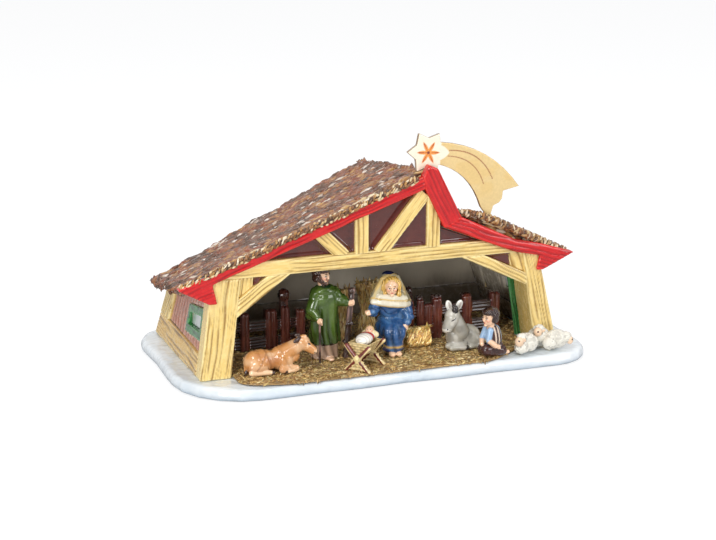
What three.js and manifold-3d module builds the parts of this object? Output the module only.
// Nativity stable: a hollow porcelain stable that stands over a snow covered base plate with its scene.
// Millimetres, +X to the right, +Y to the back, +Z up, origin under the middle of the base plate.

import * as THREE from 'three';
import { mergeVertices } from 'three/addons/utils/BufferGeometryUtils.js';
import Module from 'manifold-3d';

const wasm = await Module();
wasm.setup();

// Clearances
const GAP = 0.3; // between neighbouring pieces
const LIFT_PLAY = 1.2; // between the straw floor and what the stable's walls need to drop over it

// Base plate
const BASE_LENGTH = 274;
const BASE_DEPTH = 150;
const BASE_THICKNESS = 8.7;
const BASE_ROUNDING = 3.4;
const BASE_CORNER = 24;
const BASE_FRONT_LEFT_CORNER = 44;
const SNOW_WAVE = 1.2; // how far the snow edge waves in and out
const SNOW_WAVE_LENGTH = 62;
const FOOT_RIM_WIDTH = 9;
const FOOT_RECESS = 1.2;

// Straw floor
const STRAW_THICKNESS = 1.2;
const STRAW_FRONT_LENGTH = 172; // along the open front
const STRAW_FRONT_REACH = 17; // in front of the facade
const STRAW_FRONT_CORNER = 14;

// Stable on the base
const STABLE_WIDTH = 242.3; // over the feet of the front posts
const STABLE_DEPTH = 111;
const SNOW_LEFT = 13; // from the base's end to the outer foot of the left front post
const SNOW_FRONT = 25; // from the base's front edge to the facade
const STABLE_LEFT = SNOW_LEFT - BASE_LENGTH / 2;
const FACADE_Y = SNOW_FRONT - BASE_DEPTH / 2;
const WALL = 4.5;
const PLANK_INSET = 1.6; // planks lie behind the faces of posts and sills

// Front posts
const LEFT_POST_WIDTH = 20;
const LEFT_POST_DEPTH = 11;
const LEFT_POST_LEAN = 0.139; // inward for each millimetre up, outer edge
const LEFT_POST_INNER_LEAN = 0.113;
const RIGHT_POST_WIDTH = 15.6;
const RIGHT_POST_DEPTH = 22;
const RIGHT_POST_LEAN = 0.235;
const RIGHT_POST_INNER_LEAN = 0.155;
const HAUNCH_WIDTH = 9;
const HAUNCH_SETBACK = 2.5;
const LINING_THICKNESS = 3.4;
const LINING_DEPTH = 2;

// Beam, braces and gable timbers
const BEAM_BOTTOM = 63.3;
const BEAM_HEIGHT = 9.4;
const BEAM_DEPTH = 7;
const TIMBER_DEPTH = 3.6;
const BRACE_DEPTH = 6;
const LEFT_BRACE_WIDTH = 8.4;
const LEFT_BRACE_FOOT_Z = 44; // on the inner edge of the front post
const LEFT_BRACE_HEAD_X = 52;
const RIGHT_BRACE_WIDTH = 6.8;
const RIGHT_BRACE_FOOT_Z = 44.8;
const RIGHT_BRACE_HEAD_IN = 60.8; // from the stable's right end
const RIGHT_BRACE_HEAD_X = STABLE_WIDTH - RIGHT_BRACE_HEAD_IN;
const CORNER_PANEL_THICKNESS = 2.4;
const PANEL_SETBACK = 4;
const PANEL_THICKNESS = 3.6;
const STRUT_WIDTH = 8.6;
const GABLE_POST_WIDTH = 8.6;

// Facade slopes: the lower edge of the red verge boards is the roof's underside. The right half is
// placed from the right post, and the gable's timbers from the peak.
const LEFT_RAKE_X = 8.8;
const LEFT_RAKE_Z = 61.9;
const PEAK_IN = 94.4; // from the stable's right end
const PEAK_X = STABLE_WIDTH - PEAK_IN;
const PEAK_Z = 110.8;
const INNER_KINK_OUT = 13.2; // to the right of the peak
const INNER_KINK_X = PEAK_X + INNER_KINK_OUT;
const INNER_KINK_Z = 84.7;
const RIGHT_RAKE_IN = 31.3;
const RIGHT_RAKE_X = STABLE_WIDTH - RIGHT_RAKE_IN;
const RIGHT_RAKE_Z = 64.3;
const RIGHT_RAKE_END_IN = 14.3;
const RIGHT_RAKE_END_X = STABLE_WIDTH - RIGHT_RAKE_END_IN;
const RIGHT_RAKE_END_Z = 60.6;
const GABLE_POST_OUT = 6.6;
const GABLE_POST_X = PEAK_X + GABLE_POST_OUT;
const LONG_DIAGONAL_FOOT_OUT = 29.1; // to the left of the peak, as the next three
const LONG_DIAGONAL_FOOT_X = PEAK_X - LONG_DIAGONAL_FOOT_OUT;
const KING_STRUT_OUT = 41.6;
const KING_STRUT_X = PEAK_X - KING_STRUT_OUT;
const LEFT_DIAGONAL_FOOT_OUT = 53.9;
const LEFT_DIAGONAL_FOOT_X = PEAK_X - LEFT_DIAGONAL_FOOT_OUT;
const LEFT_DIAGONAL_HEAD_OUT = 70.9;
const LEFT_DIAGONAL_HEAD_X = PEAK_X - LEFT_DIAGONAL_HEAD_OUT;
const VERGE_WIDTH = 6.6;
const STEEP_VERGE_WIDTH = 12.6;
const RIGHT_VERGE_WIDTH = 6.9;
const VERGE_APEX_RISE = 6.5;
const VERGE_APEX_OFFSET = 2.6;
const VERGE_PROUD = 2.6; // in front of the facade
const VERGE_BACK = 3.4; // behind the facade's face

// Top of the thatch at the front, and how far the roof falls and draws in towards the rear
const REAR_OVERHANG = 6;
const ROOF_DEPTH = STABLE_DEPTH + REAR_OVERHANG;
const LEFT_EAVE_OVERHANG = 12.6;
const LEFT_EAVE_Z = 60.2;
const LEFT_EAVE_IN = 12.2;
const LEFT_EAVE_FALL = 25;
const RIDGE_BACK = 0.9; // the thatch's ridge lies this far to the left of the peak
const RIDGE_X = PEAK_X - RIDGE_BACK;
const RIDGE_THICKNESS = 11.6;
const RIDGE_Z = PEAK_Z + RIDGE_THICKNESS;
const RIDGE_IN = 2.6;
const RIDGE_FALL = 17.8;
const RIDGE_FLAT = 5;
const LUMP_PITCH = 15; // the thatch lies in soft lumps
const LUMP_DEPTH = 1.8;
const EAVE_ROLL_RADIUS = 3.2; // the thatch ends in a round roll along the left eave
const EAVE_ROLL_DROP = 1.4;
const KINK_OUT = 7.9; // from the kink in the boards
const KINK_X = INNER_KINK_X + KINK_OUT;
const KINK_THICKNESS = 9.9;
const KINK_Z = INNER_KINK_Z + KINK_THICKNESS;
const KINK_IN = 5.5;
const KINK_FALL = 21;
const SHOULDER_OUT = 28.9;
const SHOULDER_X = INNER_KINK_X + SHOULDER_OUT;
const SHOULDER_DROP = 3.2;
const SHOULDER_Z = KINK_Z - SHOULDER_DROP;
const SHOULDER_IN = 7;
const SHOULDER_FALL = 21.5;
const RIGHT_EAVE_OVERHANG = 9.2;
const RIGHT_EAVE_Z = 60.6;
const RIGHT_EAVE_IN = 13;
const RIGHT_EAVE_FALL = 24;
const LEFT_SOFFIT_Z = 49.6; // where the soffit meets the wall at the front
const RIGHT_SOFFIT_Z = 51;
const SOFFIT_FALL = 20;

// Side walls, sills and rear posts
const SILL_HEIGHT = 13.4;
const SILL_DEPTH = 7;
const REAR_POST_WIDTH = 20;
const REAR_WALL_LEAN_EXTRA = 0.16; // the side walls lean in more at the rear
const WINDOW_LENGTH = 38;
const WINDOW_FRONT = 13; // behind the facade
const WINDOW_BOTTOM = 21.5;
const WINDOW_HEIGHT = 20.8;
const WINDOW_FALL = 6.5; // the window follows the falling eave
const WINDOW_FRAME = 5;
const FRAME_PROUD = 1;
const PANE_THICKNESS = 1.4;

// Comet on the gable: the tail's places are measured from the star's middle
const STAR_OUT = 4.1;
const STAR_X = PEAK_X + STAR_OUT;
const STAR_RISE = 9.8; // over the ridge
const STAR_Z = RIDGE_Z + STAR_RISE;
const STAR_RADIUS = 14;
const STAR_INNER_RADIUS = 9.3;
const STAR_TURN = -4; // degrees
const COMET_THICKNESS = 3;
const COMET_Y = 4.2; // behind the facade's face
const TAIL_ROOT = 13;
const TAIL_TIP = [63, -26.3];
const TAIL_TEETH = [[51.8, -28.6], [51.4, -33.4], [49.4, -36], [45.2, -37.8]];
const TAIL_FOOT = [42.6, -46.4]; // stands in the thatch
const TAIL_INNER_END = [36.4, -38];
const TAIL_OUTER_BOW = 9;
const TAIL_INNER_BOW = 7.4;

// The scene's places across the stable keep their order when the stable gets wider
const SCENE_WIDTH = 242.3; // the stable's width that the places below are given for
const SPREAD = STABLE_WIDTH / SCENE_WIDTH;

// Fences: square posts, some with a knob on top, and two rails
const FENCE_POST_DEPTH = 5;
const FENCE_RAIL_DEPTH = 3;
const FENCE_RAIL = 6.8;
const LEFT_FENCE = {
  y: 50,
  rails: [4.2, 15.6],
  posts: [
    { x: 33, width: 5, height: 26 }, { x: 43, width: 5, height: 25 }, { x: 61, width: 7.8, height: 26 },
    { x: 70.5, width: 5, height: 34, knob: 4.3 }, { x: 81, width: 5.4, height: 24 },
  ],
};
const RIGHT_FENCE = {
  y: 34,
  rails: [6.4, 18.6],
  posts: [
    { x: 150.8, width: 4.6, height: 33, knob: 3 }, { x: 158.2, width: 4.4, height: 29 },
    { x: 164, width: 4.4, height: 23.5 }, { x: 170.4, width: 6.4, height: 28.4 },
    { x: 191.6, width: 6.6, height: 27.4 }, { x: 212, width: 7, height: 27 },
  ],
};

// Standing father
const FATHER_X = SPREAD * 87.4;
const FATHER_Y = 18;
const FATHER_HEIGHT = 62;
const FATHER_DEPTH_SHARE = 0.85; // robes are flatter front to back
const FATHER_HEM_RADIUS = 10.9;
const UNDERROBE_RADIUS = 9.4;
const UNDERROBE_HEIGHT = 10;
const FATHER_WAIST_RADIUS = 9.4;
const FATHER_SHOULDER_RADIUS = 9.2;
const FATHER_NECK_RADIUS = 3;
const FATHER_HEAD = [6.4, 6.8, 7.2]; // half widths along x, y, z
const FATHER_HEAD_SHIFT = -2.6; // the head leans over to the left
const SLEEVE_RADIUS = 3.6;
const HAND_RADIUS = 2.5;
const RAISED_HAND = [14, -7.4, 36.4]; // from the figure's middle and the straw
const LOWERED_HAND = [-7.6, -11.6, 27.6];
const STAFF_FOOT = [FATHER_X + 11.5, FATHER_Y - 6.8];
const STAFF_LEAN = 4.6; // sideways over its height
const STAFF_HEIGHT = 45;
const STAFF_RADIUS = 2.1;
const CANE_X = FATHER_X - 7.4;
const CANE_Y = FATHER_Y - 12.2;
const CANE_HEIGHT = 26;
const CANE_RADIUS = 0.8;

// Seated mother
const MOTHER_X = SPREAD * 130.5;
const MOTHER_Y = 15;
const MOTHER_HEIGHT = 52;
const MOTHER_HEM_RADIUS = 8.6;
const MOTHER_LAP_RADIUS = 9.6;
const MOTHER_CHEST_RADIUS = 11;
const MOTHER_NECK_RADIUS = 2.6;
const MOTHER_LAP_HEIGHT = 15;
const MOTHER_KNEES = [8, 6.4, 8.4];
const KNEES_FORWARD = 7;
const MOTHER_HEAD_RADIUS = 6.2;
const MOTHER_LEFT_HAND = [-16.4, -8.4, 29.6];
const MOTHER_RIGHT_HAND = [8.4, -9, 19.4];
const VEIL_RADIUS = 12.6;
const VEIL_DROP = 22;
const VEIL_THICKNESS = 1.6;

// Manger with the infant: the trough's long axis points to the back and right
const MANGER_X = SPREAD * 104.6;
const MANGER_Y = -9.8;
const MANGER_TURN = 42; // degrees about the vertical
const MANGER_LENGTH = 17;
const MANGER_RIM_WIDTH = 16;
const MANGER_BOTTOM_WIDTH = 4.4;
const MANGER_DEPTH = 8.6;
const MANGER_RIM_HEIGHT = 17;
const TROUGH_WALL = 1.6;
const TRESTLE_THICKNESS = 2.4;
const TRESTLE_SPREAD = 17.4;
const TRESTLE_CROSSING_HEIGHT = 6.4;
const SWADDLE = [7, 5.6, 5]; // half lengths along the trough, across and up
const SWADDLE_SHIFT = -1;
const INFANT_HEAD_RADIUS = 4;
const INFANT_HEAD_SHIFT = 6.4;
const INFANT_HEAD_RISE = 5.4; // above the trough's rim

// Lying ox, lying donkey, kneeling shepherd and sheep: each is a sum of swellings. A swelling has its
// half lengths and its middle, from the figure's place and what it stands on.
const OX = {
  x: SPREAD * 45, y: 1, glaze: 'ox',
  swellings: [
    { half: [11.5, 7.6, 8], at: [-5.5, 1, 6.6] }, // barrel
    { half: [7.5, 7, 8.6], at: [-9.5, -0.6, 6.4] }, // rump
    { half: [8.6, 6.8, 8.6], at: [8.4, 0.4, 7.8] }, // chest
    { half: [9, 3.6, 3.4], at: [-7, -6, 2.4] }, // folded hind leg
    { half: [8, 4, 3.8], at: [12, -5, 2.4] }, // folded fore leg
    { half: [5.6, 5, 6], at: [16, -4, 15], tilt: 20 }, // neck
    { half: [5.6, 4.8, 5.6], at: [20, -6, 18], tilt: 30 }, // head
    { half: [4.6, 3.4, 3.4], at: [25, -8.4, 13.8], tilt: 40 }, // muzzle
    { half: [4, 1.4, 1.6], at: [15.6, -6.6, 22], tilt: -10 }, // ear and horn
  ],
};
const DONKEY = {
  x: SPREAD * 177, y: 6, glaze: 'donkey',
  swellings: [
    { half: [11.6, 7, 8.4], at: [2.4, 1, 7] }, // barrel
    { half: [6.4, 6, 9.6], at: [-5, -1.4, 9] }, // chest
    { half: [8, 4.4, 3.4], at: [-5.4, -4.6, 2.6] }, // folded fore legs
    { half: [4.6, 4.4, 8.4], at: [-4.8, -2.4, 17], tilt: -14 }, // neck
    { half: [4.6, 4.4, 5.8], at: [-8.6, -5.2, 24.2], tilt: 14 }, // head
    { half: [3.2, 3, 4.6], at: [-11.6, -7, 17.4], tilt: 24 }, // muzzle
    { half: [1.5, 1, 3.8], at: [-10.4, -3.6, 31], tilt: -14 }, // ear
    { half: [1.7, 1, 4], at: [-3, -3.2, 30], tilt: 24 }, // ear
  ],
};
const SHEPHERD = {
  x: SPREAD * 189, y: -15, glaze: 'brown',
  swellings: [
    { half: [8.4, 5.4, 4.6], at: [1, 0.4, 3.8] }, // folded legs
    { half: [5, 4.6, 5], at: [-4.4, -0.6, 4.6] }, // knees
    { half: [5.6, 4.6, 9], at: [1.4, 0.2, 12.4], tilt: -6 }, // trunk
    { half: [2.6, 2.4, 6], at: [-2.8, -3.4, 12.4], tilt: 26 }, // arm
    { half: [5, 2, 1.8], at: [8.4, -1.4, 1.8] }, // foot
  ],
};
const SHEPHERD_HEAD = [6.2, 5.8, 6];
const SHEPHERD_HEAD_AT = [-1.6, -0.8, 25.2];
const SHEEP_HEIGHT = 15;
const SHEEP = [
  { name: 'sheep_left', x: STABLE_WIDTH - 29.9, y: -16.6, length: 18, turn: 205 },
  { name: 'sheep_middle', x: STABLE_WIDTH - 17.7, y: -8, length: 13, turn: 235 },
  { name: 'sheep_right', x: STABLE_WIDTH - 6.3, y: -14, length: 18, turn: -12 },
];
const SEAT = 0.4; // a figure's round underside is cut flat this deep

// Hay
const BALE_X = SPREAD * 150.4;
const BALE_Y = 18.4;
const BALE_RADIUS = 6.6;
const BALE_LENGTH = 17;
const SHEAF_HEIGHT = 44;
const SHEAF_RADIUS = 6;
const SHEAF_WAIST_RADIUS = 3.4;
const SHEAF_BINDING_HEIGHT = 22;
const FRONT_SHEAF_AT = [SPREAD * 102.6, 33];
const REAR_SHEAF_AT = [SPREAD * 126, 44];

// Heights in the stable's own frame: its underside is 0
const STABLE_BOTTOM = BASE_THICKNESS + GAP;
const FLOOR_TOP = STRAW_THICKNESS;
const STAND = FLOOR_TOP + GAP; // where figures stand

const GLAZE = {
  snow: [0xf1f5f8, 0.15], straw: [0xa08a4e, 0.4], timber: [0xf0dc9a, 0.2], fence: [0x2c120f, 0.15],
  plank: [0xb98274, 0.25], red: [0xd92f2c, 0.15], maroon: [0x4c1511, 0.1], thatch: [0x8d7a78, 0.35],
  mauve: [0xb79a9c, 0.3], taupe: [0x9a9285, 0.25], green: [0x2f8a45, 0.15], pane: [0xdfe0de, 0.15],
  gold: [0xf3dd9f, 0.2], cream: [0xf7efd6, 0.2], robe: [0x33581f, 0.15], under: [0xb08a72, 0.2],
  skin: [0xf0cfb2, 0.2], hair: [0x2b1713, 0.2], blue: [0x27508f, 0.12], ox: [0xd9924f, 0.2],
  donkey: [0xb3ada0, 0.2], brown: [0x4a221b, 0.15], sheep: [0xf0ece6, 0.25], wicker: [0xe6d192, 0.25],
};

const group = new THREE.Group();
const stableFrame = new THREE.Group();
stableFrame.position.set(STABLE_LEFT, FACADE_Y, STABLE_BOTTOM);
group.add(stableFrame);

// Solids

function solid(geometry) {
  const bare = geometry.index ? geometry.clone() : geometry;
  bare.deleteAttribute('normal');
  bare.deleteAttribute('uv');
  const merged = mergeVertices(bare, 1e-4);
  const corners = [...merged.index.array];
  const triVerts = [];
  for (let i = 0; i < corners.length; i += 3) {
    const [a, b, c] = corners.slice(i, i + 3);
    if (a !== b && b !== c && c !== a) triVerts.push(a, b, c);
  }
  return new wasm.Manifold(new wasm.Mesh({
    numProp: 3,
    vertProperties: new Float32Array(merged.attributes.position.array),
    triVerts: new Uint32Array(triVerts),
  }));
}

function geometryOf(manifold) {
  const mesh = manifold.getMesh();
  const geometry = new THREE.BufferGeometry();
  geometry.setAttribute('position', new THREE.BufferAttribute(mesh.vertProperties, 3));
  geometry.setIndex(new THREE.BufferAttribute(mesh.triVerts, 1));
  return geometry;
}

function add(name, shape, glaze, parent = stableFrame) {
  const [color, roughness] = GLAZE[glaze];
  const geometry = shape.isBufferGeometry ? shape : geometryOf(shape);
  const material = new THREE.MeshStandardMaterial({ color, roughness, metalness: 0 });
  const mesh = new THREE.Mesh(geometry, material);
  mesh.name = name;
  parent.add(mesh);
  return mesh;
}

function join(...shapes) {
  return shapes.reduce((sum, shape) => sum.add(shape));
}

function cut(shape, ...tools) {
  return tools.reduce((rest, tool) => rest.subtract(tool), shape);
}

// A shape trimmed by its neighbours with a gap all round. Offcuts are dropped.
function clearOf(shape, ...neighbours) {
  let rest = shape;
  for (const neighbour of neighbours) {
    rest = cut(rest, neighbour);
    for (const axis of [0, 1, 2]) {
      for (const way of [-GAP, GAP]) {
        const shift = [0, 0, 0];
        shift[axis] = way;
        rest = cut(rest, neighbour.translate(shift));
      }
    }
  }
  const bodies = rest.decompose();
  return bodies.reduce((largest, body) => (body.volume() > largest.volume() ? body : largest));
}

// A solid between two outlines of x, z points, one at yFront and one at yBack
function loft(front, back, yFront, yBack) {
  const count = front.length;
  const contour = front.map(([x, z]) => new THREE.Vector2(x, z));
  const turned = THREE.ShapeUtils.area(contour) < 0;
  const order = [...front.keys()];
  if (turned) order.reverse();
  const a = order.map((i) => front[i]);
  const b = order.map((i) => back[i]);
  const faces = THREE.ShapeUtils.triangulateShape(a.map(([x, z]) => new THREE.Vector2(x, z)), []);
  const positions = [];
  for (const [x, z] of a) positions.push(x, yFront, z);
  for (const [x, z] of b) positions.push(x, yBack, z);
  const index = [];
  for (const [i, j, k] of faces) {
    index.push(i, j, k);
    index.push(count + i, count + k, count + j);
  }
  for (let i = 0; i < count; i += 1) {
    const j = (i + 1) % count;
    // Every side is split the same way, so that two forms that share a twisted side fit
    if (a[i][0] <= a[j][0]) index.push(i, count + i, j, j, count + i, count + j);
    else index.push(i, count + i, count + j, i, count + j, j);
  }
  const geometry = new THREE.BufferGeometry();
  geometry.setAttribute('position', new THREE.Float32BufferAttribute(positions, 3));
  geometry.setIndex(index);
  return solid(geometry);
}

function plate(outline, yFront, yBack) {
  return loft(outline, outline, yFront, yBack);
}

function box(x0, x1, y0, y1, z0, z1) {
  return plate([[x0, z0], [x1, z0], [x1, z1], [x0, z1]], y0, y1);
}

// A timber between two points of the facade, with a width across
function timber(foot, head, width, yFront, yBack, headWidth = width) {
  const dx = head[0] - foot[0];
  const dz = head[1] - foot[1];
  const length = Math.hypot(dx, dz);
  const nx = -dz / length / 2;
  const nz = dx / length / 2;
  return plate([
    [foot[0] - nx * width, foot[1] - nz * width],
    [foot[0] + nx * width, foot[1] + nz * width],
    [head[0] + nx * headWidth, head[1] + nz * headWidth],
    [head[0] - nx * headWidth, head[1] - nz * headWidth],
  ], yFront, yBack);
}

// A swelling with its half lengths and middle, tilted about y and turned about the vertical, in degrees
function ball(half, middle, turn = 0, tilt = 0) {
  const geometry = new THREE.SphereGeometry(1, 12, 8);
  geometry.rotateX(Math.PI / 2);
  geometry.scale(...half);
  geometry.rotateY(THREE.MathUtils.degToRad(tilt));
  geometry.rotateZ(THREE.MathUtils.degToRad(turn));
  geometry.translate(...middle);
  return solid(geometry);
}

// A tapered round bar between two points
function bar(from, to, rFrom, rTo, sides = 10) {
  const start = new THREE.Vector3(...from);
  const end = new THREE.Vector3(...to);
  const along = end.clone().sub(start);
  const geometry = new THREE.CylinderGeometry(rTo, rFrom, along.length(), sides);
  const turn = new THREE.Quaternion().setFromUnitVectors(new THREE.Vector3(0, 1, 0), along.normalize());
  geometry.applyQuaternion(turn);
  const middle = start.add(end).multiplyScalar(0.5);
  geometry.translate(middle.x, middle.y, middle.z);
  return solid(geometry);
}

// A turned form: radius, height pairs from bottom to top, pressed flatter front to back
function turned(profile, x, y, flat = 1, sides = 16) {
  const low = profile[0][1];
  const high = profile[profile.length - 1][1];
  const points = [[0, low], ...profile, [0, high]].map(([r, z]) => new THREE.Vector2(r, z));
  const geometry = new THREE.LatheGeometry(points, sides);
  geometry.rotateX(Math.PI / 2);
  geometry.scale(1, flat, 1);
  geometry.translate(x, y, 0);
  return solid(geometry);
}

function mix(a, b, t) {
  return a + (b - a) * t;
}

// Base plate with a waved, rounded snow edge and a recessed foot

function baseOutline(inset) {
  const halfX = BASE_LENGTH / 2 - inset;
  const halfY = BASE_DEPTH / 2 - inset;
  const corners = [
    [halfX, -halfY, BASE_CORNER, -90], [halfX, halfY, BASE_CORNER, 0],
    [-halfX, halfY, BASE_CORNER, 90], [-halfX, -halfY, BASE_FRONT_LEFT_CORNER, 180],
  ];
  const points = [];
  corners.forEach(([x, y, radius, start], c) => {
    const cx = x - Math.sign(x) * radius;
    const cy = y - Math.sign(y) * radius;
    for (let k = 0; k <= 5; k += 1) {
      const angle = THREE.MathUtils.degToRad(start + 18 * k);
      points.push(new THREE.Vector2(cx + radius * Math.cos(angle), cy + radius * Math.sin(angle)));
    }
    const [nx, ny, nextRadius] = corners[(c + 1) % 4];
    const from = points[points.length - 1];
    const along = c % 2 === 0 ? new THREE.Vector2(0, Math.sign(ny)) : new THREE.Vector2(Math.sign(nx), 0);
    const to = new THREE.Vector2(nx - along.x * nextRadius, ny - along.y * nextRadius);
    const length = from.distanceTo(to);
    const steps = Math.max(2, Math.round(length / (SNOW_WAVE_LENGTH / 4)));
    for (let k = 1; k < steps; k += 1) {
      const s = (length * k) / steps;
      const ends = Math.sin((Math.PI * k) / steps);
      const dent = SNOW_WAVE * ends * (1 - Math.cos((2 * Math.PI * s) / SNOW_WAVE_LENGTH)) / 2;
      const p = from.clone().lerp(to, k / steps);
      points.push(p.add(new THREE.Vector2(-along.y, along.x).multiplyScalar(dent)));
    }
  });
  return points;
}

function addBasePlate() {
  const shape = new THREE.Shape(baseOutline(BASE_ROUNDING));
  const geometry = new THREE.ExtrudeGeometry(shape, {
    depth: BASE_THICKNESS - 2 * BASE_ROUNDING,
    bevelThickness: BASE_ROUNDING,
    bevelSize: BASE_ROUNDING,
    bevelSegments: 3,
    steps: 1,
  });
  geometry.translate(0, 0, BASE_ROUNDING);
  const rim = new THREE.Shape(baseOutline(BASE_ROUNDING + FOOT_RIM_WIDTH));
  const recess = new THREE.ExtrudeGeometry(rim, { depth: 2 * FOOT_RECESS, bevelEnabled: false });
  recess.translate(0, 0, -FOOT_RECESS);
  add('snow_base', cut(solid(geometry), solid(recess)), 'snow', group);
}

function addStrawFloor() {
  // Inside the walls the floor is a plain rectangle, and in front it bulges out over the snow.
  const inner = SILL_DEPTH + LIFT_PLAY;
  const back = STABLE_DEPTH - SILL_DEPTH - LIFT_PLAY;
  const left = LEFT_POST_WIDTH + LIFT_PLAY;
  const right = STABLE_WIDTH - RIGHT_POST_WIDTH - LIFT_PLAY - LINING_THICKNESS;
  const frontBack = Math.max(LEFT_POST_DEPTH, RIGHT_POST_DEPTH + LINING_DEPTH) + LIFT_PLAY;
  const frontRight = left + STRAW_FRONT_LENGTH;
  const shape = new THREE.Shape();
  shape.moveTo(inner, frontBack);
  shape.lineTo(left, frontBack);
  shape.lineTo(left, -STRAW_FRONT_REACH / 2);
  shape.quadraticCurveTo(left, -STRAW_FRONT_REACH, left + STRAW_FRONT_CORNER, -STRAW_FRONT_REACH);
  shape.lineTo(frontRight - STRAW_FRONT_CORNER, -STRAW_FRONT_REACH);
  shape.quadraticCurveTo(frontRight, -STRAW_FRONT_REACH, right, -LIFT_PLAY);
  shape.lineTo(right, frontBack);
  shape.lineTo(STABLE_WIDTH - inner, frontBack);
  shape.lineTo(STABLE_WIDTH - inner, back);
  shape.lineTo(inner, back);
  const geometry = new THREE.ExtrudeGeometry(shape, {
    depth: STRAW_THICKNESS, bevelEnabled: false, curveSegments: 5,
  });
  add('straw_floor', solid(geometry), 'straw');
}

// Roof: a section is taken at any distance behind the facade

function sectionPoint(x, z, drawnIn, fall, y) {
  const t = y / ROOF_DEPTH;
  return [x - drawnIn * t, z - fall * t];
}

function roofAt(y) {
  const rightTipX = STABLE_WIDTH + RIGHT_EAVE_OVERHANG;
  return {
    leftTip: sectionPoint(-LEFT_EAVE_OVERHANG, LEFT_EAVE_Z, -LEFT_EAVE_IN, LEFT_EAVE_FALL, y),
    ridge: sectionPoint(RIDGE_X, RIDGE_Z, RIDGE_IN, RIDGE_FALL, y),
    ridgeRight: sectionPoint(RIDGE_X + RIDGE_FLAT, RIDGE_Z, RIDGE_IN, RIDGE_FALL, y),
    kink: sectionPoint(KINK_X, KINK_Z, KINK_IN, KINK_FALL, y),
    shoulder: sectionPoint(SHOULDER_X, SHOULDER_Z, SHOULDER_IN, SHOULDER_FALL, y),
    rightTip: sectionPoint(rightTipX, RIGHT_EAVE_Z, RIGHT_EAVE_IN, RIGHT_EAVE_FALL, y),
    leftUnder: sectionPoint(LEFT_RAKE_X, LEFT_RAKE_Z, 0, LEFT_EAVE_FALL, y),
    peak: sectionPoint(PEAK_X, PEAK_Z, RIDGE_IN, RIDGE_FALL, y),
    innerKink: sectionPoint(INNER_KINK_X, INNER_KINK_Z, KINK_IN, KINK_FALL, y),
    rightUnder: sectionPoint(RIGHT_RAKE_X, RIGHT_RAKE_Z, SHOULDER_IN, SHOULDER_FALL, y),
    rightEnd: sectionPoint(RIGHT_RAKE_END_X, RIGHT_RAKE_END_Z, SHOULDER_IN, RIGHT_EAVE_FALL, y),
  };
}

function down([x, z], gap = GAP) {
  return [x, z - gap];
}

function leftWallX(z, y) {
  const lean = LEFT_POST_LEAN + (REAR_WALL_LEAN_EXTRA * y) / ROOF_DEPTH;
  return lean * z;
}

function rightWallX(z, y) {
  const lean = RIGHT_POST_LEAN + (REAR_WALL_LEAN_EXTRA * y) / ROOF_DEPTH / 2;
  return STABLE_WIDTH - lean * z;
}

function leftSoffitZ(y) {
  return LEFT_SOFFIT_Z - (SOFFIT_FALL * y) / ROOF_DEPTH;
}

function rightSoffitZ(y) {
  return RIGHT_SOFFIT_Z - (SOFFIT_FALL * y) / ROOF_DEPTH;
}

// Everything under the roof, less a gap
function underRoof(gap) {
  const section = (y) => {
    const { leftTip, leftUnder, peak, innerKink, rightUnder, rightEnd, rightTip } = roofAt(y);
    const low = -2 * STRAW_THICKNESS;
    return [
      [leftTip[0], low], [rightTip[0], low], down(rightTip, gap), down(rightEnd, gap),
      down(rightUnder, gap), down(innerKink, 2 * gap), down(peak, 3 * gap), down(leftUnder, gap),
      down(leftTip, gap),
    ];
  };
  return lengthwise(section);
}

// A form that runs from in front of the facade to the rear edge of the roof
function lengthwise(section) {
  const start = -2 * VERGE_PROUD;
  return loft(section(start), section(ROOF_DEPTH), start, ROOF_DEPTH);
}

// The same, from behind the verge boards
function behindVerges(section) {
  const behind = box(-BASE_LENGTH, BASE_LENGTH * 2, VERGE_BACK + GAP, BASE_DEPTH * 2, 0, BASE_LENGTH);
  return lengthwise(section).intersect(behind);
}

// The solid under a surface given by rows of points
function under(rows, depth) {
  const columns = rows[0].length;
  const top = rows.flat();
  const positions = [];
  for (const [x, y, z] of top) positions.push(x, y, z);
  for (const [x, y, z] of top) positions.push(x, y, z - depth);
  const index = [];
  const quad = (a, b, c, d) => index.push(a, b, c, a, c, d);
  for (let j = 0; j + 1 < rows.length; j += 1) {
    for (let i = 0; i + 1 < columns; i += 1) {
      const a = j * columns + i;
      quad(a, a + 1, a + 1 + columns, a + columns);
      quad(top.length + a, top.length + a + columns, top.length + a + 1 + columns, top.length + a + 1);
    }
  }
  const rim = [];
  for (let i = 0; i + 1 < columns; i += 1) rim.push(i);
  for (let j = 0; j + 1 < rows.length; j += 1) rim.push(j * columns + columns - 1);
  for (let i = columns - 1; i > 0; i -= 1) rim.push((rows.length - 1) * columns + i);
  for (let j = rows.length - 1; j > 0; j -= 1) rim.push(j * columns);
  rim.forEach((a, k) => {
    const b = rim[(k + 1) % rim.length];
    quad(b, a, top.length + a, top.length + b);
  });
  const geometry = new THREE.BufferGeometry();
  geometry.setAttribute('position', new THREE.Float32BufferAttribute(positions, 3));
  geometry.setIndex(index);
  return solid(geometry);
}

// How far the thatch dips at a place of its grid; it keeps its full height along both edges of a slope
function lumpDip(i, j, last) {
  if (i <= 1 || i >= last - 1) return 0;
  return LUMP_DEPTH * (0.5 - 0.5 * Math.sin(2.3 * i + 0.9 * j) * Math.cos(1.9 * j - 0.7 * i));
}

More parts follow.
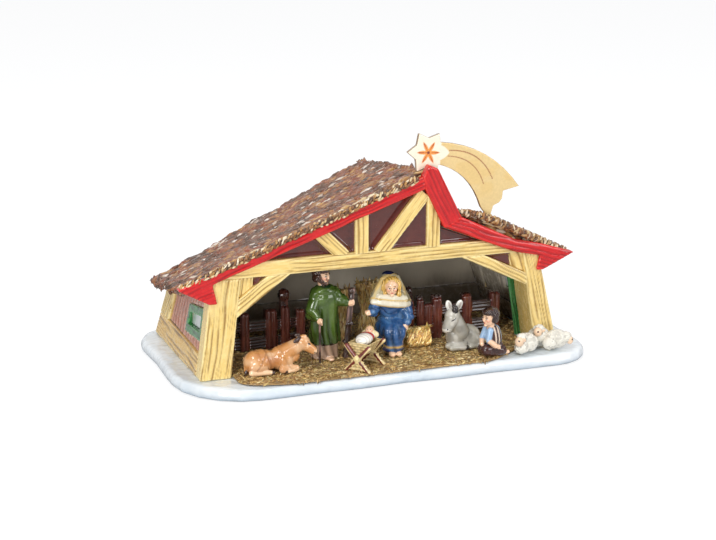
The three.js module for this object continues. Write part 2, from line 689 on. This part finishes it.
// A slope's top: rows of places a lump's pitch apart, with one beyond each edge
function lumpyTop(slope) {
  const front = slope(0);
  const apart = ([x, z], [x2, z2]) => Math.hypot(x2 - x, z2 - z);
  const steps = front.slice(1).map((place, k) => Math.ceil(apart(place, front[k]) / LUMP_PITCH));
  const count = Math.ceil(ROOF_DEPTH / LUMP_PITCH);
  const rows = [];
  for (let j = -1; j <= count + 1; j += 1) {
    const y = (ROOF_DEPTH * j) / count;
    const line = slope(y);
    const places = [beyond(line[0], line[1]), line[0]];
    steps.forEach((parts, k) => {
      for (let part = 1; part <= parts; part += 1) {
        const t = part / parts;
        places.push([mix(line[k][0], line[k + 1][0], t), mix(line[k][1], line[k + 1][1], t)]);
      }
    });
    places.push(beyond(line[line.length - 1], line[line.length - 2]));
    rows.push(places.map(([x, z], i) => [x, y, z - lumpDip(i, j, places.length - 1)]));
  }
  return rows;
}

// A roof slab: `slope` gives the top's corners in a section, and `lower` the corners below them
function roofSlab(slope, lower) {
  const raised = behindVerges((y) => {
    const top = slope(y);
    const high = top.map(([x, z]) => [x, z + 2 * LUMP_DEPTH]);
    return [...high, top[top.length - 1], ...lower(y), top[0]];
  });
  return raised.intersect(under(lumpyTop(slope), RIDGE_Z / 2));
}

// The round edge of the thatch along the left eave
function eaveRoll() {
  return behindVerges((y) => {
    const { leftTip } = roofAt(y);
    const centre = [leftTip[0] + EAVE_ROLL_RADIUS, leftTip[1] - EAVE_ROLL_DROP];
    return Array.from({ length: 8 }, (unused, k) => {
      const angle = Math.PI - (k * Math.PI) / 4;
      return [centre[0] + EAVE_ROLL_RADIUS * Math.cos(angle), centre[1] + EAVE_ROLL_RADIUS * Math.sin(angle)];
    });
  });
}

function roofSlabs() {
  const leftSplit = (ridge) => ridge[0] + RIDGE_FLAT / 2;
  const left = roofSlab((y) => {
    const { leftTip, ridge } = roofAt(y);
    return [leftTip, ridge, [leftSplit(ridge), ridge[1]]];
  }, (y) => {
    const { leftUnder, peak, ridge } = roofAt(y);
    return [[leftSplit(ridge), mix(peak[1], ridge[1], 0.5)], peak, leftUnder];
  });
  const steep = roofSlab((y) => {
    const { ridge, ridgeRight, kink } = roofAt(y);
    return [[leftSplit(ridge) + GAP, ridge[1]], ridgeRight, [kink[0] - GAP, kink[1]]];
  }, (y) => {
    const { ridge, innerKink, peak } = roofAt(y);
    return [
      [innerKink[0] - GAP, innerKink[1]], [peak[0] + 3 * GAP, peak[1]],
      [leftSplit(ridge) + GAP, mix(peak[1], ridge[1], 0.5)],
    ];
  });
  const right = roofSlab((y) => {
    const { kink, shoulder, rightTip } = roofAt(y);
    return [[kink[0] + GAP, kink[1]], shoulder, rightTip];
  }, (y) => {
    const { rightEnd, rightUnder, innerKink } = roofAt(y);
    return [rightEnd, rightUnder, [innerKink[0] + GAP, innerKink[1]]];
  });
  return { left: left.add(eaveRoll()), steep, right };
}

function addRoof(slabs, comet) {
  add('left_roof', clearOf(slabs.left, comet), 'thatch');
  add('steep_roof', clearOf(slabs.steep, comet), 'thatch');
  add('right_roof', clearOf(slabs.right, comet), 'thatch');
}

// Verge boards along the facade's slopes, and the eave boards that close the wedges in front

function vergeBoards() {
  const { leftTip, rightTip } = roofAt(0);
  const rise = (width, dx, dz) => (width * Math.hypot(dx, dz)) / Math.abs(dx);
  const leftRise = rise(VERGE_WIDTH, PEAK_X - LEFT_RAKE_X, PEAK_Z - LEFT_RAKE_Z);
  const rightRise = rise(RIGHT_VERGE_WIDTH, RIGHT_RAKE_X - INNER_KINK_X, INNER_KINK_Z - RIGHT_RAKE_Z);
  const steep = new THREE.Vector2(INNER_KINK_X - PEAK_X, INNER_KINK_Z - PEAK_Z).normalize();
  const outer = (x, z, up = 0) => [
    x - steep.y * STEEP_VERGE_WIDTH - steep.x * up, z + steep.x * STEEP_VERGE_WIDTH - steep.y * up,
  ];
  const mitreX = PEAK_X - VERGE_APEX_OFFSET / 2;
  const outerKink = outer(INNER_KINK_X, INNER_KINK_Z);
  const apexRight = outer(PEAK_X, PEAK_Z, VERGE_APEX_RISE);
  const left = plate([
    leftTip, [LEFT_RAKE_X, LEFT_RAKE_Z], [PEAK_X, PEAK_Z], [mitreX, PEAK_Z + leftRise],
    [LEFT_RAKE_X, LEFT_RAKE_Z + leftRise],
  ], -VERGE_PROUD, VERGE_BACK);
  const steepBoard = plate([
    [PEAK_X, PEAK_Z], [INNER_KINK_X, INNER_KINK_Z], outerKink, apexRight,
    [PEAK_X + VERGE_APEX_OFFSET, apexRight[1] + VERGE_APEX_OFFSET], [mitreX, PEAK_Z + leftRise],
  ], -VERGE_PROUD, VERGE_BACK);
  const right = plate([
    [INNER_KINK_X, INNER_KINK_Z], [RIGHT_RAKE_X, RIGHT_RAKE_Z], [RIGHT_RAKE_END_X, RIGHT_RAKE_END_Z],
    rightTip, [RIGHT_RAKE_END_X, RIGHT_RAKE_END_Z + rightRise],
    [RIGHT_RAKE_X, RIGHT_RAKE_Z + rightRise], outerKink,
  ], -VERGE_PROUD, VERGE_BACK);
  return {
    left: clearOf(left, steepBoard), steep: steepBoard, right: clearOf(right, steepBoard),
  };
}

// Front posts lean inward. A haunch beside each, set back, fills the corner over the brace.

function leftPostEdge(z) {
  return LEFT_POST_WIDTH + LEFT_POST_INNER_LEAN * z;
}

function rightPostEdge(z) {
  return STABLE_WIDTH - RIGHT_POST_WIDTH - RIGHT_POST_INNER_LEAN * z;
}

function postStems(top) {
  const left = plate([
    [0, 0], [leftPostEdge(0), 0], [leftPostEdge(top), top], [leftWallX(top, 0), top],
  ], 0, LEFT_POST_DEPTH);
  const right = plate([
    [rightPostEdge(0), 0], [STABLE_WIDTH, 0], [rightWallX(top, 0), top], [rightPostEdge(top), top],
  ], 0, RIGHT_POST_DEPTH);
  return { left, right };
}

function addFacade(verges) {
  const top = BEAM_BOTTOM + BEAM_HEIGHT;
  const roofed = underRoof(GAP);
  const stems = postStems(top);
  const beamShape = box(leftWallX(top, 0), rightWallX(top, 0), 0, BEAM_DEPTH, BEAM_BOTTOM, top);
  const beam = clearOf(beamShape.intersect(roofed), verges.left, verges.right);
  const leftFoot = [leftPostEdge(LEFT_BRACE_FOOT_Z), LEFT_BRACE_FOOT_Z];
  const rightFoot = [rightPostEdge(RIGHT_BRACE_FOOT_Z), RIGHT_BRACE_FOOT_Z];
  const leftHead = [LEFT_BRACE_HEAD_X, BEAM_BOTTOM];
  const rightHead = [RIGHT_BRACE_HEAD_X, BEAM_BOTTOM];
  const brace = (a, b, width) => timber(beyond(a, b), beyond(b, a), width, 0, BRACE_DEPTH);
  const leftBrace = brace(leftFoot, leftHead, LEFT_BRACE_WIDTH);
  const rightBrace = brace(rightHead, rightFoot, RIGHT_BRACE_WIDTH);
  const leftBraceCut = clearOf(leftBrace, beam, stems.left);
  const rightBraceCut = clearOf(rightBrace, beam, stems.right);

  const leftHaunch = plate([
    leftFoot, [leftFoot[0] + HAUNCH_WIDTH, leftFoot[1]], [leftPostEdge(top) + HAUNCH_WIDTH, top],
    [leftPostEdge(top) - 1, top],
  ], HAUNCH_SETBACK, LEFT_POST_DEPTH);
  const rightHaunch = plate([
    rightFoot, [rightPostEdge(top) + 1, top], [rightPostEdge(top) - HAUNCH_WIDTH, top],
    [rightFoot[0] - HAUNCH_WIDTH, rightFoot[1]],
  ], HAUNCH_SETBACK, RIGHT_POST_DEPTH);
  const leftPost = join(stems.left, clearOf(leftHaunch, leftBrace));
  const rightPost = join(stems.right, clearOf(rightHaunch, rightBrace));
  add('left_front_post', clearOf(leftPost.intersect(roofed), beam, verges.left), 'timber');
  add('right_front_post', clearOf(rightPost.intersect(roofed), beam, verges.right), 'timber');
  add('tie_beam', beam, 'timber');
  add('left_brace', leftBraceCut, 'timber');
  add('right_brace', rightBraceCut, 'timber');

  const panelFront = HAUNCH_SETBACK + GAP;
  const panelBack = panelFront + CORNER_PANEL_THICKNESS;
  const leftPanel = plate([leftFoot, leftHead, [leftFoot[0], BEAM_BOTTOM]], panelFront, panelBack);
  const rightPanel = plate([rightFoot, [rightFoot[0], BEAM_BOTTOM], rightHead], panelFront, panelBack);
  add('left_corner_panel', clearOf(leftPanel, leftPost, leftBrace, beam), 'maroon');
  add('right_corner_panel', clearOf(rightPanel, rightPost, rightBrace, beam), 'maroon');

  const liningBack = RIGHT_POST_DEPTH + GAP;
  const liningTop = RIGHT_BRACE_FOOT_Z;
  add('reveal_lining', plate([
    [rightPostEdge(0) - LINING_THICKNESS, 0], [rightPostEdge(0) + LINING_THICKNESS, 0],
    [rightPostEdge(liningTop) + LINING_THICKNESS, liningTop],
    [rightPostEdge(liningTop) - LINING_THICKNESS, liningTop],
  ], liningBack, liningBack + LINING_DEPTH), 'green');
  return beam;
}

// A point a little past one end of a timber, so that a trim cuts it to its seat
function beyond(from, to, extra = 6) {
  const dx = to[0] - from[0];
  const dz = to[1] - from[1];
  const length = Math.hypot(dx, dz);
  return [from[0] - (dx * extra) / length, from[1] - (dz * extra) / length];
}

function addGable(beam, verges, slabs) {
  const top = BEAM_BOTTOM + BEAM_HEIGHT;
  const trim = (shape) => clearOf(shape, beam, verges.left, verges.steep, verges.right);
  const strut = (foot, head, width) => timber(foot, head, width, 0, TIMBER_DEPTH);
  const rakeZ = (x) => mix(LEFT_RAKE_Z, PEAK_Z, (x - LEFT_RAKE_X) / (PEAK_X - LEFT_RAKE_X));
  const under = (x) => [x, rakeZ(x) + VERGE_WIDTH / 2]; // the trim cuts it to the verge board
  const gablePost = trim(strut([GABLE_POST_X, top - 1], [GABLE_POST_X, PEAK_Z], GABLE_POST_WIDTH));
  const kingStrut = trim(strut([KING_STRUT_X, top - 1], under(KING_STRUT_X), STRUT_WIDTH));
  const diagonal = strut([LEFT_DIAGONAL_FOOT_X, top - 1], under(LEFT_DIAGONAL_HEAD_X), STRUT_WIDTH);
  const longHead = [PEAK_X, PEAK_Z - STRUT_WIDTH / 2];
  const longDiagonal = strut([LONG_DIAGONAL_FOOT_X, top - 1], longHead, STRUT_WIDTH);
  add('gable_post', gablePost, 'timber');
  add('king_strut', kingStrut, 'timber');
  add('left_diagonal', clearOf(trim(diagonal), kingStrut), 'timber');
  add('long_diagonal', clearOf(trim(longDiagonal), gablePost, kingStrut), 'timber');

  const back = PANEL_SETBACK + PANEL_THICKNESS;
  const high = box(LEFT_RAKE_X, RIGHT_RAKE_END_X, PANEL_SETBACK, back, top - 1, PEAK_Z);
  const panel = high.intersect(underRoof(GAP));
  const around = [beam, ...Object.values(verges), ...Object.values(slabs)];
  add('gable_panel', clearOf(panel, ...around), 'maroon');
}

// Eave wedges fill the overhang between the wall's top and the roof slab. The verge boards' ends are
// deep enough to close them in front.

function leftWedgeSection(y) {
  const { leftTip, leftUnder } = roofAt(y);
  const soffit = leftSoffitZ(y);
  const wall = leftWallX(soffit, y);
  return [leftTip, [wall, soffit], [wall + WALL, soffit], leftUnder];
}

function rightWedgeSection(y) {
  const { rightTip, rightEnd } = roofAt(y);
  const soffit = rightSoffitZ(y);
  const wall = rightWallX(soffit, y);
  return [rightTip, [wall, soffit], [wall - WALL, soffit], rightEnd];
}

function addEaves(roof, verges, posts) {
  const boardEnd = (section) => plate(section(0), -VERGE_PROUD, VERGE_BACK);
  const leftWedge = clearOf(behindVerges(leftWedgeSection), roof.left, posts.left);
  const rightWedge = clearOf(behindVerges(rightWedgeSection), roof.right, posts.right);
  add('left_eave_wedge', leftWedge, 'mauve');
  add('right_eave_wedge', rightWedge, 'mauve');
  add('left_verge_board', join(verges.left, clearOf(boardEnd(leftWedgeSection), posts.left)), 'red');
  add('steep_verge_board', verges.steep, 'red');
  add('right_verge_board', join(verges.right, clearOf(boardEnd(rightWedgeSection), posts.right)), 'red');
  return { left: leftWedge, right: rightWedge };
}

// Side walls: a sill, a rear post on it, planks between, and a window in each wall

function wallPiece(edge, inset, thickness, y0, y1, low, high) {
  const inward = edge === leftWallX ? 1 : -1;
  const section = (y) => {
    const outer = (z) => edge(z, y) + inward * inset;
    const [z0, z1] = [low(y), high(y)];
    return [
      [outer(z0), z0], [outer(z0) + inward * thickness, z0],
      [outer(z1) + inward * thickness, z1], [outer(z1), z1],
    ];
  };
  return loft(section(y0), section(y1), y0, y1);
}

function addSide(side, edge, soffitZ, postDepth, wedge) {
  const front = postDepth + GAP;
  const rearPostFront = STABLE_DEPTH - REAR_POST_WIDTH;
  const sillTop = () => SILL_HEIGHT;
  const wallLow = () => SILL_HEIGHT + GAP;
  const wallHigh = (y) => soffitZ(y) - GAP;
  const sill = wallPiece(edge, 0, SILL_DEPTH, front, STABLE_DEPTH, () => 0, sillTop);
  add(`${side}_sill`, sill, 'timber');
  const rearPostShape = wallPiece(edge, 0, SILL_DEPTH, rearPostFront, STABLE_DEPTH, wallLow, wallHigh);
  const rearPost = clearOf(rearPostShape, wedge);
  add(`${side}_rear_post`, rearPost, 'timber');

  const windowFront = Math.max(WINDOW_FRONT, front);
  const windowBack = windowFront + WINDOW_LENGTH;
  const drop = (y) => (WINDOW_FALL * (y - windowFront)) / WINDOW_LENGTH;
  const frameLow = (y) => WINDOW_BOTTOM - drop(y) / 2;
  const frameHigh = (y) => WINDOW_BOTTOM + WINDOW_HEIGHT - drop(y);
  const paneLow = (y) => frameLow(y) + WINDOW_FRAME;
  const paneHigh = (y) => frameHigh(y) - WINDOW_FRAME;
  const paneFront = windowFront + WINDOW_FRAME;
  const paneBack = windowBack - WINDOW_FRAME;
  const frameInset = PLANK_INSET - FRAME_PROUD;
  const frameDepth = WALL + FRAME_PROUD;
  const frame = wallPiece(edge, frameInset, frameDepth, windowFront, windowBack, frameLow, frameHigh);
  const daylight = wallPiece(edge, -WALL, 3 * WALL, paneFront, paneBack, paneLow, paneHigh);
  const paneInset = PLANK_INSET + PANE_THICKNESS;
  const pane = wallPiece(edge, paneInset, PANE_THICKNESS, paneFront + GAP, paneBack - GAP,
    (y) => paneLow(y) + GAP, (y) => paneHigh(y) - GAP);
  const planks = wallPiece(edge, PLANK_INSET, WALL, front, rearPostFront - GAP, wallLow, wallHigh);
  add(`${side}_wall`, clearOf(planks, frame, wedge), 'plank');
  add(`${side}_window_frame`, cut(frame, daylight), 'green');
  add(`${side}_window_pane`, pane, 'pane');
  return { rearPost, sill };
}

function addRear(left, right, wedges, slabs) {
  const front = STABLE_DEPTH - PLANK_INSET - WALL;
  const low = SILL_HEIGHT + GAP;
  const sill = box(0, STABLE_WIDTH, STABLE_DEPTH - SILL_DEPTH, STABLE_DEPTH, 0, SILL_HEIGHT);
  add('rear_sill', betweenSides(sill, left.sill, right.sill), 'timber');
  const wall = box(0, STABLE_WIDTH, front, front + WALL, low, RIDGE_Z).intersect(underRoof(GAP));
  const inner = betweenSides(wall, left.rearPost, right.rearPost);
  add('rear_wall', clearOf(inner, ...Object.values(wedges), ...Object.values(slabs)), 'plank');
}

// The middle part of a shape that two side pieces part from their outer strips
function betweenSides(shape, left, right) {
  const outward = (piece, way) => piece.translate([way * SILL_DEPTH / 2, 0, 0]);
  return clearOf(shape, left, right, outward(left, -1), outward(right, 1));
}

// Comet: a six pointed star with a bowed tail, one thin plate that stands in the thatch

function starOutline() {
  const points = [];
  for (let k = 0; k < 12; k += 1) {
    const radius = k % 2 === 0 ? STAR_RADIUS : STAR_INNER_RADIUS;
    const angle = THREE.MathUtils.degToRad(STAR_TURN + 30 * k);
    points.push([STAR_X + radius * Math.cos(angle), STAR_Z + radius * Math.sin(angle)]);
  }
  return points;
}

// Points of a bow that rises above the straight line between two places
function bowed(from, to, bow, steps) {
  const length = Math.hypot(to[0] - from[0], to[1] - from[1]);
  const along = [(to[0] - from[0]) / length, (to[1] - from[1]) / length];
  const points = [];
  for (let k = 0; k <= steps; k += 1) {
    const t = k / steps;
    const lift = 4 * bow * t * (1 - t);
    points.push([
      mix(from[0], to[0], t) - along[1] * lift,
      mix(from[1], to[1], t) + along[0] * lift,
    ]);
  }
  return points;
}

function tailOutline() {
  const fromStar = ([x, z]) => [STAR_X + x, STAR_Z + z];
  const outer = bowed(fromStar([0, TAIL_ROOT / 2]), fromStar(TAIL_TIP), TAIL_OUTER_BOW, 9);
  const inner = bowed(fromStar(TAIL_INNER_END), fromStar([0, -TAIL_ROOT / 2]), -TAIL_INNER_BOW, 9);
  return [...outer, ...TAIL_TEETH.map(fromStar), fromStar(TAIL_FOOT), ...inner];
}

function cometPlate() {
  const back = COMET_Y + COMET_THICKNESS;
  return join(plate(starOutline(), COMET_Y, back), plate(tailOutline(), COMET_Y, back));
}

// Fences

function addFence(name, { y, rails, posts }) {
  const front = y - FENCE_POST_DEPTH / 2;
  const back = y + FENCE_POST_DEPTH / 2;
  const stakes = posts.map(({ x, width, height }) => (
    box(SPREAD * x - width / 2, SPREAD * x + width / 2, front, back, STAND, STAND + height)
  ));
  const knobs = posts.filter(({ knob }) => knob).map(({ x, height, knob }) => (
    ball([knob, knob, knob], [SPREAD * x, y, STAND + height])
  ));
  const boards = rails.map((z) => box(
    SPREAD * posts[0].x, SPREAD * posts[posts.length - 1].x,
    front - FENCE_RAIL_DEPTH / 2, y,
    STAND + z - FENCE_RAIL / 2, STAND + z + FENCE_RAIL / 2,
  ));
  add(name, join(...stakes, ...knobs, ...boards), 'fence');
}

// Hay: a round bale lying along x, and bound sheaves standing at the rear

function addBale(motherRobe) {
  const middle = STAND + BALE_RADIUS - SEAT;
  const from = [BALE_X - BALE_LENGTH / 2, BALE_Y, middle];
  const to = [BALE_X + BALE_LENGTH / 2, BALE_Y, middle];
  const bale = onGround(bar(from, to, BALE_RADIUS, BALE_RADIUS, 12), STAND);
  add('hay_bale', clearOf(bale, motherRobe), 'straw');
}

function addSheaf(name, [x, y]) {
  const sheaf = turned([
    [SHEAF_RADIUS, STAND], [SHEAF_WAIST_RADIUS, STAND + SHEAF_BINDING_HEIGHT],
    [SHEAF_RADIUS, STAND + SHEAF_HEIGHT],
  ], x, y, 1, 12);
  add(name, sheaf, 'straw');
}

// A place given from a figure's middle and from what it stands on
function from(x, y, [dx, dy, dz]) {
  return [x + dx, y + dy, STAND + dz];
}

// Standing father: an underrobe, a robe with sleeves and hands, a head, a staff and a cane

function fatherRobe() {
  const hem = STAND + UNDERROBE_HEIGHT;
  const neck = STAND + FATHER_HEIGHT - 2 * FATHER_HEAD[2];
  const shoulder = FATHER_SHOULDER_RADIUS;
  const body = turned([
    [FATHER_HEM_RADIUS, hem], [FATHER_WAIST_RADIUS, mix(hem, neck, 0.5)],
    [shoulder, neck - SLEEVE_RADIUS * 2], [shoulder * 0.7, neck - SLEEVE_RADIUS / 2],
    [FATHER_NECK_RADIUS, neck],
  ], FATHER_X, FATHER_Y, FATHER_DEPTH_SHARE);
  const sleeve = (way, hand) => {
    const top = from(FATHER_X, FATHER_Y, [way * shoulder * 0.6, 0, neck - STAND - 1.6 * SLEEVE_RADIUS]);
    const elbow = from(FATHER_X, FATHER_Y, [way * (shoulder + 1), -3, hand[2] + SLEEVE_RADIUS / 2]);
    const wrist = from(FATHER_X, FATHER_Y, hand);
    return join(
      bar(top, elbow, SLEEVE_RADIUS, SLEEVE_RADIUS, 8), bar(elbow, wrist, SLEEVE_RADIUS, HAND_RADIUS, 8),
      ball([SLEEVE_RADIUS, SLEEVE_RADIUS, SLEEVE_RADIUS], elbow),
      ball([HAND_RADIUS, HAND_RADIUS, HAND_RADIUS], wrist),
    );
  };
  return join(body, sleeve(1, RAISED_HAND), sleeve(-1, LOWERED_HAND));
}

function addFather() {
  const underTop = STAND + UNDERROBE_HEIGHT - GAP;
  const under = [[UNDERROBE_RADIUS, STAND], [UNDERROBE_RADIUS, underTop]];
  add('father_underrobe', turned(under, FATHER_X, FATHER_Y, FATHER_DEPTH_SHARE), 'under');
  const [footX, footY] = STAFF_FOOT;
  const staffTop = [footX + STAFF_LEAN, footY, STAND + STAFF_HEIGHT];
  const cutFlat = box(-BASE_LENGTH, BASE_LENGTH, -BASE_DEPTH, BASE_DEPTH, STAND, BASE_LENGTH);
  const staff = bar([footX, footY, STAND - 1], staffTop, STAFF_RADIUS, STAFF_RADIUS, 8).intersect(cutFlat);
  const caneTop = [CANE_X, CANE_Y, STAND + CANE_HEIGHT];
  const cane = bar([CANE_X, CANE_Y, STAND], caneTop, CANE_RADIUS, CANE_RADIUS, 6);
  const robe = fatherRobe();
  add('father_robe', clearOf(robe, staff, cane), 'robe');
  add('father_staff', staff, 'fence');
  add('father_cane', cane, 'fence');
  const headZ = FATHER_HEIGHT - FATHER_HEAD[2];
  const head = ball(FATHER_HEAD, from(FATHER_X, FATHER_Y, [FATHER_HEAD_SHIFT, -0.6, headZ]));
  add('father_head', clearOf(head, robe), 'hair');
}

// Seated mother: a robe with sleeves and hands, a head, and a veil behind and over the head

function addMother() {
  const [x, y] = [MOTHER_X, MOTHER_Y];
  const headRise = MOTHER_HEIGHT - MOTHER_HEAD_RADIUS - VEIL_THICKNESS;
  const neckRise = headRise - MOTHER_HEAD_RADIUS;
  const lap = STAND + MOTHER_LAP_HEIGHT;
  const neck = STAND + neckRise;
  const chest = MOTHER_CHEST_RADIUS;
  const body = turned([
    [MOTHER_HEM_RADIUS, STAND], [MOTHER_LAP_RADIUS, lap], [chest, neck - SLEEVE_RADIUS * 1.5],
    [chest * 0.6, neck - 1], [MOTHER_NECK_RADIUS, neck],
  ], x, y, 0.8);
  const knees = ball(MOTHER_KNEES, from(x, y, [0, -KNEES_FORWARD, MOTHER_KNEES[2]]));
  const arm = (way, hand) => join(
    bar(from(x, y, [way * (chest - SLEEVE_RADIUS), -1, neckRise - 5]), from(x, y, hand), SLEEVE_RADIUS,
      HAND_RADIUS, 8),
    ball([HAND_RADIUS, HAND_RADIUS, HAND_RADIUS], from(x, y, hand)),
  );
  const robe = onGround(join(body, knees, arm(-1, MOTHER_LEFT_HAND), arm(1, MOTHER_RIGHT_HAND)), STAND);
  const r = MOTHER_HEAD_RADIUS;
  const head = clearOf(ball([r, r, r], from(x, y, [0, -3, headRise])), robe);
  const top = STAND + MOTHER_HEIGHT;
  const veil = turned([
    [VEIL_RADIUS, top - VEIL_DROP], [r + VEIL_THICKNESS, STAND + headRise + 1],
    [r - 1, top - VEIL_THICKNESS], [r / 2, top],
  ], x, y, 0.82);
  const opening = ball([r - 0.8, r, r], from(x, y, [0, -r - VEIL_THICKNESS, headRise - 0.6]));
  add('mother_robe', robe, 'blue');
  add('mother_head', head, 'skin');
  add('mother_veil', clearOf(cut(veil, opening), head, robe), 'cream');
  return robe;
}

// Manger: a tapered trough between two crossed trestles, with the swaddled infant in it

function troughForm(inset, low, high) {
  const floor = MANGER_RIM_HEIGHT - MANGER_DEPTH;
  const halfAt = (z) => (
    mix(MANGER_BOTTOM_WIDTH, MANGER_RIM_WIDTH, (z - floor) / MANGER_DEPTH) / 2 - inset
  );
  const half = MANGER_LENGTH / 2 - inset;
  const outline = [[-halfAt(low), low], [halfAt(low), low], [halfAt(high), high], [-halfAt(high), high]];
  return plate(outline, -half, half).rotate([0, 0, -90]);
}

function trestle(middle) {
  const foot = TRESTLE_SPREAD / 2;
  const head = MANGER_RIM_WIDTH / 2;
  const crossing = [0, TRESTLE_CROSSING_HEIGHT];
  const top = MANGER_RIM_HEIGHT - 1;
  const arms = [[-foot, -1], [foot, -1], [-head, top], [head, top]].map((end) => (
    timber(end, crossing, TRESTLE_THICKNESS, 0, TRESTLE_THICKNESS)
  ));
  const hub = [[0, 5], [-1.8, 6.4], [0, 7.8], [1.8, 6.4]];
  const cross = join(...arms, plate(hub, 0, TRESTLE_THICKNESS));
  const room = box(-MANGER_LENGTH, MANGER_LENGTH, -1, TRESTLE_THICKNESS + 1, 0, MANGER_RIM_HEIGHT);
  return cross.intersect(room).translate([0, -TRESTLE_THICKNESS / 2, 0]).rotate([0, 0, -90])
    .translate([middle, 0, 0]);
}

function addManger() {
  const rim = MANGER_RIM_HEIGHT;
  const floor = rim - MANGER_DEPTH;
  const place = (shape) => (
    shape.rotate([0, 0, MANGER_TURN]).translate([MANGER_X, MANGER_Y, STAND])
  );
  const trough = cut(troughForm(0, floor, rim), troughForm(TROUGH_WALL, floor + TROUGH_WALL, rim + 1));
  add('manger_trough', place(trough), 'wicker');
  const middle = (MANGER_LENGTH + TRESTLE_THICKNESS) / 2 + GAP;
  add('left_trestle', place(trestle(-middle)), 'wicker');
  add('right_trestle', place(trestle(middle)), 'wicker');
  const bed = troughForm(TROUGH_WALL + GAP, floor + TROUGH_WALL + GAP, rim + SWADDLE[2]);
  const swaddle = ball(SWADDLE, [SWADDLE_SHIFT, 0, rim]).intersect(bed);
  const r = INFANT_HEAD_RADIUS;
  const head = ball([r, r, r], [INFANT_HEAD_SHIFT, 0, rim + INFANT_HEAD_RISE]);
  add('infant', place(join(swaddle, head)), 'cream');
}

// Animals and the shepherd

function onGround(shape, level) {
  return shape.intersect(box(-BASE_LENGTH, 2 * BASE_LENGTH, -BASE_DEPTH, BASE_DEPTH, level, BASE_LENGTH));
}

function swollen({ x, y, swellings }) {
  const parts = swellings.map(({ half, at, tilt = 0 }) => ball(half, from(x, y, at), 0, tilt));
  return onGround(join(...parts), STAND);
}

function addShepherd() {
  const body = swollen(SHEPHERD);
  const head = ball(SHEPHERD_HEAD, from(SHEPHERD.x, SHEPHERD.y, SHEPHERD_HEAD_AT));
  add('shepherd_body', body, SHEPHERD.glaze);
  add('shepherd_head', clearOf(head, body), 'hair');
}

// The sheep lie on the snow in front of the right post
function addSheep() {
  for (const { name, x, y, length, turn } of SHEEP) {
    const half = length / 2;
    const middle = SHEEP_HEIGHT / 3;
    const body = ball([half * 0.8, half * 0.62, middle + SEAT], [-half * 0.2, 0, middle]);
    const head = ball([half * 0.4, half * 0.36, middle], [half * 0.6, 0, SHEEP_HEIGHT - middle]);
    const sheep = onGround(join(body, head), 0);
    add(name, sheep.rotate([0, 0, turn]).translate([x, y, 0]), 'sheep');
  }
}

addBasePlate();
addStrawFloor();
const slabs = roofSlabs();
const comet = cometPlate();
const verges = vergeBoards();
const posts = postStems(BEAM_BOTTOM + BEAM_HEIGHT);
const beam = addFacade(verges);
addGable(beam, verges, slabs);
const wedges = addEaves(slabs, verges, posts);
const leftSide = addSide('left', leftWallX, leftSoffitZ, LEFT_POST_DEPTH, wedges.left);
const rightSide = addSide('right', rightWallX, rightSoffitZ, RIGHT_POST_DEPTH, wedges.right);
addRear(leftSide, rightSide, wedges, slabs);
addRoof(slabs, comet);
add('comet', comet, 'gold');
addFence('left_fence', LEFT_FENCE);
addFence('right_fence', RIGHT_FENCE);
addFather();
addBale(addMother());
addSheaf('straw_sheaf', FRONT_SHEAF_AT);
addSheaf('rear_straw_sheaf', REAR_SHEAF_AT);
addManger();
add('ox', swollen(OX), OX.glaze);
add('donkey', swollen(DONKEY), DONKEY.glaze);
addShepherd();
addSheep();

export default group;
